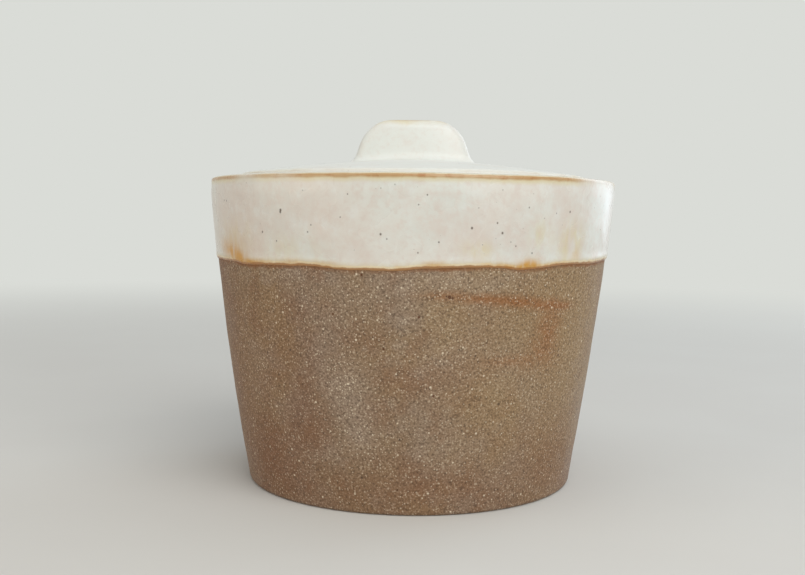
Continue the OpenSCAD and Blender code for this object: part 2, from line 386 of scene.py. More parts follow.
def patches(marks):
    """Gives how strongly soft patches show at a point, from 0 to 1."""
    def strength_at(co):
        angle = front_angle(co)
        total = 0.0
        for at, height, wide, tall, strength in marks:
            away = math.hypot(turned(angle, at) / wide, (co.z / MM - height) / tall)
            if away < PATCH_REACH:
                total += strength * bump(away, 1)
        return min(total, 1.0)
    return strength_at


# Shape of the jar

class JarForm:
    """The jar's shape in plain numbers, which are quicker to read at every point than the settings."""

    def __init__(self):
        scene = bpy.context.scene
        self.sizes = self.plain(scene.misojar_sizes)
        self.handle = self.plain(scene.misojar_handle)
        self.glaze = self.plain(scene.misojar_glaze)
        self.shoulder = self.sizes.rim_z - self.sizes.rim_round
        self.arris_z = self.sizes.rim_z - ARRIS_LEVEL * self.sizes.rim_round
        self.dip_z = self.sizes.rim_z - self.glaze.dip
        self.seat_r = self.inner_radius(self.sizes.seat_z) - self.sizes.seat_w
        self.hollow_r = self.seat_r - self.sizes.bare

    @staticmethod
    def plain(group):
        """A group's values."""
        return SimpleNamespace(**{name: getattr(group, name) for name in group.__annotations__})

    def outer_radius(self, z):
        """Outside radius of the clay wall at a height."""
        sizes = self.sizes
        share = z / sizes.rim_z
        straight = sizes.foot_r + (sizes.rim_r - sizes.foot_r) * share
        return straight + 4 * sizes.belly * share * (1 - share)

    def inner_radius(self, z):
        """Inside radius of the clay wall at a height."""
        return self.outer_radius(z) - self.sizes.wall

    def outside(self, heights):
        """Points on the outside of the clay wall."""
        return [(self.outer_radius(z), z) for z in heights]

    def inside(self, heights):
        """Points on the inside of the clay wall."""
        return [(self.inner_radius(z), z) for z in heights]

    def lid_top(self, r):
        """Height of the lid's clay top at a radius."""
        sizes = self.sizes
        return sizes.lid_z - sizes.lid_rise * min(r / sizes.lid_r, 1.0) ** sizes.dome_power

    def lid_hollow(self, r):
        """Height of the hollow under the lid at a radius."""
        sizes = self.sizes
        return sizes.seat_z + sizes.lid_hollow * (1 - min(r / self.hollow_r, 1.0) ** sizes.dome_power)

    def rim_outer(self, start, end, count):
        """Points on the rounding of the rim's outer edge, with angles from 0, outside, to 90, on top."""
        radius = self.sizes.rim_round
        return arc((self.outer_radius(self.shoulder) - radius, self.shoulder), radius, start, end, count)

    def rim_inner(self, start, end, count):
        """Points on the rounding of the rim's inner edge, with angles from 90, on top, to 180, inside."""
        radius = self.sizes.rim_round
        return arc((self.inner_radius(self.shoulder) + radius, self.shoulder), radius, start, end, count)

    def floor_corner(self, count):
        """Points along the smoothed corner between the floor and the wall, from the floor up."""
        sizes = self.sizes
        floor = self.inner_radius(sizes.floor_z)
        top = sizes.floor_z + sizes.corner
        start = (floor - sizes.corner, sizes.floor_z)
        middle = (floor, sizes.floor_z)
        end = (self.inner_radius(top), top)
        return [tuple((1 - s) ** 2 * a + 2 * s * (1 - s) * b + s * s * c
                      for a, b, c in zip(start, middle, end))
                for s in spread(0, 1, count)]

    def dip_line(self, co):
        """Height of the glaze's lower edge: long waves, a fine waver, runs, and a rise to the right."""
        glaze = self.glaze
        turn = math.tau * co.x / glaze.wave_length
        wave = sum(share * math.sin(often * turn + math.radians(phase)) for share, often, phase in DIP_WAVES)
        level = Vector((co.x, co.y, 0))
        waver = sum(tall * noise.noise(level * fine) for tall, fine in DIP_WAVER)
        angle = front_angle(co)
        run = sum(drop * bump(turned(angle, at), wide) for at, wide, drop in GLAZE_RUNS)
        rise = sum(tall * smooth(start, end, angle) for tall, start, end in DIP_RISES)
        return self.dip_z + glaze.wave * wave + (waver - run + rise * smooth(*DIP_FALL, angle)) * MM

    def rim_line(self, co):
        """How strongly the clay shows as a brown line at the rim's arris."""
        angle = front_angle(co)
        weaker = sum(less * bump(turned(angle, at), wide) for at, wide, less in LINE_GAPS)
        # It is weaker all along the right side, too
        weaker += 0.75 * smooth(40, 52, angle) * smooth(90, 70, angle)
        return max(0.95 + 0.25 * noise.noise(Vector((co.x, co.y, 0.005)) * 60) - weaker, 0.0)

    def hand_built(self, co):
        """Where a point lies once the wall swells and dips and the rim rises and falls a little."""
        sizes = self.sizes
        r = math.hypot(co.x, co.y)
        if r < sizes.foot_r / 2:
            return co
        around = Vector((co.x / r, co.y / r, 0))
        swell = sum(strength * noise.noise(around * often + Vector((*shift, co.z * up)))
                    for strength, often, shift, up in WALL_SWELLS)
        out = swell * sizes.unevenness * smooth(0, TRUE_FOOT * MM, co.z)
        lift = noise.noise(around * RIM_WAVES + RIM_SHIFT) * sizes.unevenness * RIM_LIFT
        rim = smooth(sizes.seat_z + 1 * MM, sizes.rim_z, co.z)
        return Vector((*((r + out) * around)[:2], co.z + lift * rim))

    def uneven_lid(self, co):
        """Where a point on the lid lies once its top swells and dips a little."""
        return co + Vector((0, 0, noise.noise(co * LID_WAVES) * LID_SWELL * MM))


# Meshes

def spun(outline, steps):
    """A closed shell: an outline of [radius, height] points, spun once round the jar's axis."""
    bm = bmesh.new()
    verts = [bm.verts.new((r, 0, z)) for r, z in outline]
    edges = [bm.edges.new(pair) for pair in zip(verts, verts[1:] + verts[:1])]
    bmesh.ops.spin(bm, geom=verts + edges, cent=(0, 0, 0), axis=(0, 0, 1), angle=math.tau, steps=steps,
                   use_merge=True)
    bmesh.ops.remove_doubles(bm, verts=bm.verts, dist=WELD)
    bmesh.ops.dissolve_degenerate(bm, edges=bm.edges, dist=WELD)
    bmesh.ops.recalc_face_normals(bm, faces=bm.faces)
    return bm


def lofted(stations, steps):
    """A skin from ring to ring, closed to a point at the last. A station gives its point at an angle."""
    bm = bmesh.new()
    bmesh.ops.create_circle(bm, segments=steps, radius=1)
    turn = bm.verts.layers.float.new("turn")
    for vert in bm.verts:
        vert[turn] = math.atan2(vert.co.y, vert.co.x)
    ring, edges = list(bm.verts), list(bm.edges)
    for i, station in enumerate(stations):
        if i:
            made = bmesh.ops.extrude_edge_only(bm, edges=edges)["geom"]
            ring = [g for g in made if isinstance(g, bmesh.types.BMVert)]
            edges = [g for g in made if isinstance(g, bmesh.types.BMEdge)]
        for vert in ring:
            vert.co = station(vert[turn])
    middle = sum((vert.co for vert in ring), Vector()) / steps
    bmesh.ops.pointmerge(bm, verts=ring, merge_co=middle)
    bmesh.ops.recalc_face_normals(bm, faces=bm.faces)
    return bm


def coat(path, thickness):
    """Closed outline of a coat over a path of [radius, height] points that has the clay on its right."""
    face = []
    for i, point in enumerate(path):
        a, b = path[max(i - 1, 0)], path[min(i + 1, len(path) - 1)]
        across, up = b[0] - a[0], b[1] - a[1]
        run = math.hypot(across, up)
        over = thickness(*point)
        face.append((max(point[0] - over * up / run, 0.0), point[1] + over * across / run))
    return list(path) + face[::-1]


def mark(bm, **values):
    """Stores a value at each vertex, under a name that a material reads."""
    for name, value in values.items():
        layer = bm.verts.layers.float.new(name)
        for vert in bm.verts:
            vert[layer] = value(vert.co)


def move(bm, place):
    """Moves each vertex to its new place."""
    for vert in bm.verts:
        vert.co = place(vert.co.copy())


def in_scene(name, data):
    """An object in the scene that shows a mesh, a lamp or a camera."""
    obj = bpy.data.objects.new(name, data)
    bpy.context.scene.collection.objects.link(obj)
    return obj


def piece(bm, name, body, nodes, slot):
    """Makes the mesh a smooth-shaded piece that rides on a body and stands for CAD nodes."""
    mesh = bpy.data.meshes.new(name)
    bm.to_mesh(mesh)
    bm.free()
    mesh.shade_smooth()
    mesh.set_sharp_from_angle(angle=SHARP)
    mesh.materials.append(finish_of(slot))
    obj = in_scene(name, mesh)
    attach(obj, body)
    if nodes:
        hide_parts(*nodes)
    return obj


# Materials

def put(tree, socket, value):
    """Sets a socket, or links another node's output to it."""
    if isinstance(value, bpy.types.NodeSocket):
        tree.links.new(value, socket)
    else:
        socket.default_value = value


def node(tree, kind, inputs=None, **values):
    """A node of a kind, with its settings, and its inputs set or linked."""
    made = tree.nodes.new(kind)
    for key, value in values.items():
        setattr(made, key, value)
    for key, value in (inputs or {}).items():
        put(tree, made.inputs[key], value)
    return made


class Finish:
    """A material's nodes: a tone that colours are laid over, and a short method for each kind of node."""

    def __init__(self, name, ground):
        self.material = bpy.data.materials.new(name)
        self.material.use_nodes = True
        self.tree = self.material.node_tree
        self.tree.nodes.clear()
        self.shader = self.add("ShaderNodeBsdfPrincipled")
        self.output = self.add("ShaderNodeOutputMaterial", {"Surface": self.shader.outputs[0]})
        self.at = self.add("ShaderNodeTexCoord").outputs["Object"]
        self.tone = linear(ground)

    def add(self, kind, inputs=None, **values):
        """A node in this material."""
        return node(self.tree, kind, inputs, **values)

    def stretched(self, x, y, z):
        """Object coordinates, scaled along each axis."""
        return self.add("ShaderNodeMapping", {"Vector": self.at, "Scale": (x, y, z)}).outputs[0]

    def noise(self, scale, detail=2.0, at=None):
        """Cloudy values round 0.5, with this many features to the metre."""
        inputs = {"Vector": at or self.at, "Scale": scale, "Detail": detail, "Roughness": 0.55}
        return self.add("ShaderNodeTexNoise", inputs).outputs[0]

    def grains(self, cell, radius, share):
        """Round grains in a share of the cells of this size in metres: 1 inside, 0 outside."""
        found = self.add("ShaderNodeTexVoronoi", {"Vector": self.at, "Scale": 1 / cell})
        chance = self.add("ShaderNodeSeparateColor", {0: found.outputs["Color"]}).outputs
        largest = radius / cell
        reach = self.scaled(chance[1], (1 - LEAST_GRAIN) * largest, LEAST_GRAIN * largest)
        core = self.product(reach, GRAIN_CORE)
        inputs = {0: found.outputs["Distance"], 1: reach, 2: core, 3: 0.0, 4: 1.0}
        inside = self.add("ShaderNodeMapRange", inputs).outputs[0]
        return self.product(inside, self.math("LESS_THAN", chance[0], share))

    def math(self, operation, *values):
        """Arithmetic on values."""
        return self.add("ShaderNodeMath", dict(enumerate(values)), operation=operation).outputs[0]

    def scaled(self, value, times, plus):
        """A value, multiplied and then added to."""
        return self.math("MULTIPLY_ADD", value, times, plus)

    def product(self, *factors):
        """Values multiplied together."""
        total = factors[0]
        for factor in factors[1:]:
            total = self.math("MULTIPLY", total, factor)
        return total

    def step(self, value, low, high, top=1.0):
        """0 where a value is at low, top where it is at high, smooth between."""
        inputs = {0: value, 1: low, 2: high, 3: 0.0, 4: top}
        return self.add("ShaderNodeMapRange", inputs, interpolation_type="SMOOTHSTEP").outputs[0]

    def mark(self, name):
        """A value stored on the piece's vertices, or 0 where it has none."""
        return self.add("ShaderNodeAttribute", attribute_name=name).outputs["Fac"]

    def mix(self, factor, a, b):
        """Colour b over colour a."""
        return self.add("ShaderNodeMix", {0: factor, 6: a, 7: b}, data_type="RGBA").outputs[2]

    def lay(self, paint, *factors):
        """Lays a screen colour, or another node's, over the tone, as strongly as the factors multiplied."""
        over = paint if isinstance(paint, bpy.types.NodeSocket) else linear(paint)
        self.tone = self.mix(self.product(*factors), self.tone, over)

    def relief(self, height, distance, strength, under=None):
        """A bump of this height in metres, over another one."""
        inputs = {"Height": height, "Distance": distance, "Strength": strength}
        if under is not None:
            inputs["Normal"] = under
        return self.add("ShaderNodeBump", inputs).outputs[0]

    def finish(self, **sockets):
        """Gives the shader the tone and its other values, and returns the material."""
        for name, value in {"Base_Color": self.tone, **sockets}.items():
            put(self.tree, self.shader.inputs[name.replace("_", " ")], value)
        return self.material


def speckled_clay():
    """Coarse stoneware: grey to red-brown, full of pale grains, with pits, rust and a toasted line."""
    clay = bpy.context.scene.misojar_clay
    f = Finish("speckled_clay", clay.body)
    f.lay(clay.grey, f.step(f.noise(22, 3), 0.38, 0.64))
    f.lay(clay.olive, f.step(f.noise(31, 3, f.stretched(1, 1.2, 0.8)), 0.46, 0.68, 0.7))
    f.lay(clay.red, f.step(f.noise(27, 2, f.stretched(0.9, 1, 1.3)), 0.52, 0.74, 0.6))
    f.lay(clay.red, f.step(f.noise(110, 2), 0.45, 0.70, 0.4))
    f.lay(clay.dust, f.step(f.noise(125, 2, f.stretched(1, 0.8, 1.1)), 0.47, 0.72, 0.5))
    pale = f.mark("pale")
    f.lay(clay.dust, pale, 0.6)
    # Redder patches, with painted warm reflected light on the jar's front left
    f.lay(clay.red, f.mark("warm"))
    # Yellower patches, lighter on the lit right side: partly painted light
    f.lay(clay.olive, f.mark("sandy"))
    f.lay(clay.rust, f.mark("rust"), f.step(f.noise(230, 4), 0.15, 0.55, 0.9))

    sand = f.noise(1700, 3)
    f.lay(clay.pit, f.step(sand, 0.52, 0.30, 0.66))
    f.lay(clay.grog, f.step(sand, 0.54, 0.76, 0.46))
    fine = f.grains(*FINE_GROG, f.scaled(pale, 0.4, 0.42))
    f.lay(clay.grog, fine, f.scaled(pale, 0.3, 0.45))
    coarse = f.grains(*COARSE_GROG, 0.4)
    f.lay(clay.grog, coarse, 0.85)
    pits = f.grains(*PITS, 0.15)
    f.lay(clay.pit, pits, 0.7)
    f.lay(clay.iron, f.step(f.mark("spot"), 0.1, 0.6, 0.9))
    f.lay(clay.grog, f.step(f.mark("grain"), 0.1, 0.6, 0.8))

    # Distance below the glaze in millimetres, with a ragged edge
    below = f.product(f.math("SUBTRACT", 1.0, f.mark("hem")), TOAST_REACH)
    ragged = f.math("ADD", below, f.scaled(f.noise(500, 3), 1.6, -0.8))
    f.lay(clay.toast, f.step(ragged, 1.3, 0.1), f.scaled(f.step(f.noise(45, 2), 0.42, 0.60), 0.5, 0.4))

    lumps = f.math("SUBTRACT", f.math("ADD", fine, coarse), f.product(pits, 2.5))
    rough = f.relief(f.noise(560, 4), 0.5 * MM, 0.55)
    rough = f.relief(f.math("ADD", lumps, f.product(sand, 1.5)), 0.12 * MM, 0.55, rough)
    return f.finish(Roughness=0.82, Normal=rough, Specular_IOR_Level=0.4, Sheen_Weight=0.1,
                    Sheen_Roughness=0.4)


def satin_glaze():
    """Satin white: patches, streaks, iron specks, caramel arrises; amber and a yellowish bead with painted
    highlight at the lower edge.
    """
    glaze = bpy.context.scene.misojar_glaze
    f = Finish("satin_glaze", glaze.white)
    # The lid's glaze is fresh: it is thicker and whiter, and shows less of what the band shows
    fresh = f.mark("fresh")
    thin = f.scaled(fresh, -0.75, 1.0)
    calm = f.scaled(fresh, -0.6, 1.0)
    f.lay(glaze.cool, f.step(f.noise(34, 2), 0.40, 0.60))
    f.lay(glaze.blush, f.step(f.noise(70, 3, f.stretched(1, 1, 0.7)), 0.48, 0.74, 0.55), thin)
    f.lay(glaze.blush, f.step(f.noise(1, 3, f.stretched(330, 330, 42)), 0.50, 0.80, 0.35), thin)
    f.lay(glaze.lid_white, fresh, 0.75)
    f.lay(glaze.white, fresh, f.step(f.noise(48, 4), 0.44, 0.70, 0.5))
    f.lay(glaze.blush, f.mark("blush"))
    f.lay(glaze.straw, f.mark("stain"), f.step(f.noise(1, 3, f.stretched(420, 420, 90)), 0.25, 0.65))
    mottle = f.noise(650, 2)
    f.lay(glaze.blush, f.step(mottle, 0.46, 0.74, 0.4), calm)
    flecks = f.noise(240, 3)
    f.lay(glaze.blush, f.step(flecks, 0.48, 0.72, 0.45), thin)
    f.lay(glaze.lid_white, f.step(flecks, 0.50, 0.26, 0.35), thin)
    pinholes = f.grains(*PINHOLES, 0.45)
    f.lay(glaze.speck, pinholes, calm, 0.4)
    f.lay(glaze.speck, f.step(f.mark("spot"), 0.0, 0.75, 0.95))

    # Distance above the lower edge in millimetres, with a ragged edge
    ragged = f.math("SUBTRACT", f.noise(330, 3), 0.5)
    uneven = f.scaled(ragged, 0.9, f.product(f.math("SUBTRACT", 1.0, f.mark("hem")), HEM_REACH))
    f.lay(glaze.straw, f.step(uneven, 2.6, 1.2, 0.3))
    f.lay(glaze.amber, f.step(uneven, 1.6, 0.9), f.step(f.noise(150, 2), 0.45, 0.65, 0.5))
    # A pale yellow line along the bead, lighter than the glaze: its colour with a painted highlight
    f.lay(glaze.cream, f.step(uneven, 1.45, 1.0, 0.7))
    f.lay(glaze.amber, f.mark("amber"), f.step(f.noise(1, 4, f.stretched(520, 520, 170)), 0.1, 0.6))
    f.lay(glaze.russet, f.step(uneven, 0.9, 0.5, 0.85))

    # Closeness to an arris, drawn out where the glaze drips
    drips = f.scaled(f.noise(1, 3, f.stretched(150, 150, 40)), 0.28, -0.14)
    broken = f.math("ADD", f.mark("arris"), f.scaled(ragged, 0.1, drips))
    thinned = f.mark("thinned")
    f.lay(glaze.straw, f.step(broken, 0.36, 0.80, 0.7), thinned)
    burnt = f.step(f.noise(240, 4), 0.46, 0.66, 0.75)
    line = f.mix(burnt, linear(glaze.caramel), linear(glaze.russet))
    f.lay(line, f.step(broken, 0.70, 0.92), thinned)

    skin = f.relief(f.noise(120, 2), 1.0 * MM, f.product(thin, 0.1))
    pitted = f.math("SUBTRACT", mottle, f.product(pinholes, 2.0))
    skin = f.relief(pitted, 0.05 * MM, f.product(thin, 0.2), skin)
    gloss = f.scaled(f.noise(80, 2), 0.16, f.scaled(fresh, 0.14, 0.19))
    return f.finish(Roughness=gloss, Normal=skin, Specular_IOR_Level=0.5)


FINISHES = {"clay": speckled_clay, "white_glaze": satin_glaze}


def finish_of(slot):
    """The material for a slot, made on its first use."""
    make = FINISHES[slot]
    return bpy.data.materials.get(make.__name__) or make()


# Pieces

class MISOJAR_OT_jar_clay(bpy.types.Operator):
    """Spins the jar's clay: the wall, and the ring that carries the lid"""

    bl_idname = "misojar.jar_clay"
    bl_label = "Jar clay"

    def execute(self, context):
        jar = JarForm()
        sizes = jar.sizes
        line = jar.dip_z / MM
        foot = (jar.outer_radius(sizes.foot_round) - sizes.foot_round, sizes.foot_round)
        # Closer rows near the dip line, where the toasted clay ends
        rows = spread(sizes.foot_round / MM + 1, line - 4, 76)
        rows += spread(line - 3.6, line + 2, 26)
        rows += spread(line + 4, jar.shoulder / MM, 14)
        corner = jar.floor_corner(9)
        outline = arc(foot, sizes.foot_round, -90, 0, 7) + jar.outside(z * MM for z in rows)
        outline += jar.rim_outer(0, 90, 8)[1:] + jar.rim_inner(90, 180, 8)
        outline += jar.inside(spread(jar.shoulder, corner[-1][1], 40)[1:-1])
        outline += corner[::-1] + jar.inside([sizes.floor_z, 0.0])
        wall = spun(outline, WALL_STEPS)

        def hem(co):
            if co.z > sizes.rim_z - 10 * MM:
                return 0.0
            return closeness(jar.dip_line(co) - co.z, TOAST_REACH * MM)

        mark(wall, hem=hem, rust=patches(RUST_MARKS), pale=patches(PALE_MARKS), warm=patches(WARM_AND_BOUNCE_MARKS),
             sandy=patches(SANDY_AND_LIT_SIDE_MARKS))
        move(wall, jar.hand_built)
        piece(wall, "clay_wall", "jar", ["jar_wall"], "clay")

        edge = (jar.seat_r + sizes.seat_round, sizes.seat_z - sizes.seat_round)
        ring = jar.inside(spread(sizes.seat_z, sizes.seat_z - sizes.seat_h, 8))
        ring += [(jar.seat_r, sizes.seat_z - sizes.seat_face)] + arc(edge, sizes.seat_round, 180, 90, 7)
        piece(spun(ring, PLAIN_STEPS), "clay_seat", "jar", ["seat_ring"], "clay")
        for kept in ("base_slab", "lid_handle"):
            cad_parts[kept].data.materials[0] = finish_of("clay")
        return {"FINISHED"}


class MISOJAR_OT_band_glaze(bpy.types.Operator):
    """Drapes the dipped band over the upper part of the wall"""

    bl_idname = "misojar.band_glaze"
    bl_label = "Dipped band"

    def execute(self, context):
        jar = JarForm()
        glaze = jar.glaze
        low = jar.dip_z
        top = (jar.shoulder - low) / MM
        rows = [*HEM_ROWS, *spread(4.4, top - 1.8, 26), *spread(top - 1.6, top, 10)]
        path = jar.rim_outer(JOIN, 0, 9)[:-1] + jar.outside(low + up * MM for up in reversed(rows))

        def thickness(r, z):
            up = (z - low) / MM
            thinning = smooth(jar.shoulder - 5.0 * MM, jar.shoulder + 0.5 * MM, z)
            bead = glaze.bead * bump(up - BEAD_UP, BEAD_SPREAD)
            full = glaze.coat + (glaze.arris - glaze.coat) * thinning + bead
            rise = min(up / HEM_ROUND, 1.0)
            return full * math.sqrt(rise * (2 - rise))

        def arris(co):
            down = jar.arris_z - co.z
            return closeness(down if down > 0 else -3 * down, ARRIS_REACH * MM)

        band = spun(coat(path, thickness), COAT_STEPS)
        mark(band, hem=lambda co: closeness(co.z - low, HEM_REACH * MM), amber=patches(AMBER_MARKS),
             arris=arris, thinned=jar.rim_line, blush=patches(BLUSH_MARKS), stain=patches(STAIN_MARKS))

        def drape(co):
            r = math.hypot(co.x, co.y)
            z = co.z + (jar.dip_line(co) - low) * smooth(low + DIP_FOLLOW * MM, low, co.z)
            wider = (r + jar.outer_radius(z) - jar.outer_radius(co.z)) / r
            return jar.hand_built(Vector((co.x * wider, co.y * wider, z)))

        move(band, drape)
        piece(band, "glaze_band", "jar", ["outer_glaze"], "white_glaze")
        return {"FINISHED"}


class MISOJAR_OT_spots(bpy.types.Operator):
    """Sets iron spots into the band's and the lid's glaze, and grains of iron and grog into the clay"""

    bl_idname = "misojar.spots"
    bl_label = "Spots and grains"

    @staticmethod
    def lenses(name, spots, place, height):
        """Small closed lenses half sunk in a surface, whose mark is strongest in the middle."""
        bm = bmesh.new()
        layer = bm.verts.layers.float.new(name)
        for angle, along, radius in spots:
            made = bmesh.ops.create_uvsphere(bm, u_segments=12, v_segments=4, radius=1)["verts"]
            for vert in made:
                side, rise, out = vert.co
                # Larger spots are stronger, and each one is a little taller than it is wide
                vert[layer] = min(0.28 + 1.25 * radius, 1.0) * (1 - 0.75 * math.hypot(side, rise))
                at, away = place(angle, (along + 1.15 * radius * rise) * MM, radius * MM * side)
                vert.co = at + out * (height * MM) * away
        bmesh.ops.recalc_face_normals(bm, faces=bm.faces)
        return bm

    def execute(self, context):
        jar = JarForm()
        scattered = random.Random(SEED)

        def strewn(count, start, end, low, high, small, large):
            """Random places between two angles and two heights, with random radii."""
            ranges = ((start, end), (low, high), (small, large))
            return [tuple(scattered.uniform(*ends) for ends in ranges) for _ in range(count)]

        def on_wall(over):
            """Gives places on the wall, by angle, height and a step aside, and the way out of it."""
            def place(angle, z, aside):
                r = jar.outer_radius(z) + over
                turn = math.radians(angle) + aside / r
                away = Vector((math.sin(turn), -math.cos(turn), 0))
                return jar.hand_built(r * away + Vector((0, 0, z))), away
            return place

        def on_lid(angle, r, aside):
            """A place on the lid's glaze, by angle, radius and a step aside, and the way out of it."""
            turn = math.radians(angle) + aside / r
            at = Vector((r * math.sin(turn), -r * math.cos(turn), jar.lid_top(r) + jar.glaze.coat))
            return jar.uneven_lid(at), Vector((0, 0, 1))

        band = [*BAND_SPOTS, *strewn(*STREWN_BAND), *strewn(*STREWN_SPECKS)]
        iron = [*CLAY_SPOTS, *strewn(*STREWN_IRON)]
        grog = strewn(*STREWN_GROG)
        lid = strewn(*STREWN_LID)
        in_glaze, in_clay = on_wall(jar.glaze.coat), on_wall(0.0)
        piece(self.lenses("spot", band, in_glaze, SPOT_H), "iron_spots", "jar", [], "white_glaze")
        piece(self.lenses("spot", iron, in_clay, IRON_H), "iron_grains", "jar", [], "clay")
        piece(self.lenses("grain", grog, in_clay, GROG_H), "grog_grains", "jar", [], "clay")
        lid_lenses = self.lenses("spot", lid, on_lid, SPOT_H)
        mark(lid_lenses, fresh=lambda co: 1.0)
        piece(lid_lenses, "lid_spots", "lid", [], "white_glaze")
        return {"FINISHED"}


class MISOJAR_OT_inner_glaze(bpy.types.Operator):
    """Lays the coats on the rim and on the inside of the jar"""

    bl_idname = "misojar.inner_glaze"
    bl_label = "Rim and inside"

    def execute(self, context):
        jar = JarForm()
        sizes, glaze = jar.sizes, jar.glaze
        bare = sizes.seat_z + sizes.bare
        over_outer, over_inner = jar.rim_outer(90, JOIN, 4), jar.rim_inner(180, 90, 8)
        join_r, inner_r = over_outer[-1][0], over_inner[-1][0]
        path = jar.inside(spread(bare, jar.shoulder, 8)[:-1]) + over_inner
        path += [(r, sizes.rim_z) for r in spread(inner_r, over_outer[0][0], 9)[1:]] + over_outer[1:]

        def thickness(r, z):
            thinning = smooth(join_r - 1.6 * MM, join_r - 0.2 * MM, r)
            lip = smooth(-0.1 * MM, 0.5 * MM, z - bare)
            return (glaze.rim_coat + (glaze.arris - glaze.rim_coat) * thinning) * lip

        rim = spun(coat(path, thickness), COAT_STEPS)

        def arris(co):
            r = math.hypot(co.x, co.y)
            # Both edges show less of the clay than the band's arris does
            outer = 0.9 * MM + 1.3 * max(join_r - r, 0.0)
            inner = 0.7 * MM + abs(r - inner_r + 0.3 * MM)
            return closeness(min(outer, inner), ARRIS_REACH * MM)

        mark(rim, arris=arris, thinned=jar.rim_line)
        move(rim, jar.hand_built)
        piece(rim, "glaze_rim", "jar", ["rim_glaze"], "white_glaze")

        corner = jar.floor_corner(9)
        face = sizes.seat_z - sizes.seat_face
        path = [(r, sizes.floor_z) for r in spread(0, corner[0][0], 16)[:-1]] + corner
        path += jar.inside(spread(corner[-1][1], sizes.seat_z - sizes.seat_h, 44)[1:])
        path += [(jar.seat_r, z) for z in spread(face, sizes.seat_z - sizes.seat_round, 4)]
        inside = spun(coat(path, lambda r, z: glaze.coat if z < path[-1][1] else glaze.arris), PLAIN_STEPS)
        piece(inside, "glaze_inside", "jar", ["inner_glaze"], "white_glaze")
        return {"FINISHED"}


class MISOJAR_OT_lid_clay(bpy.types.Operator):
    """Spins the lid's clay plate and the coat in the hollow under it"""

    bl_idname = "misojar.lid_clay"
    bl_label = "Lid clay"

    def execute(self, context):
        jar = JarForm()
        sizes, glaze = jar.sizes, jar.glaze
        rounded = sizes.lid_r - sizes.lid_round
        foot = (sizes.lid_r - sizes.lid_under, sizes.seat_z + sizes.lid_under)
        top = [(r, jar.lid_top(r)) for r in spread(0, rounded, 26)]
        edge = arc((rounded, jar.lid_top(rounded) - sizes.lid_round), sizes.lid_round, 90, 0, 8)[1:]
        border = arc(foot, sizes.lid_under, 0, -90, 6)
        under = [(r, jar.lid_hollow(r)) for r in spread(jar.hollow_r, 0, 28)]
        plate = spun(top + edge + border + under, PLAIN_STEPS)
        piece(plate, "clay_lid", "lid", ["lid_plate"], "clay")

        coated = under[1:]
        edge_r = coated[0][0]

        def thickness(r, z):
            return glaze.coat * smooth(-0.3 * MM, 1.5 * MM, edge_r - r)

        below = spun(coat(coated, thickness), PLAIN_STEPS)
        mark(below, hem=lambda co: closeness(edge_r - math.hypot(co.x, co.y), HEM_REACH * MM))
        piece(below, "glaze_under_lid", "lid", ["lid_under_glaze"], "white_glaze")
        return {"FINISHED"}


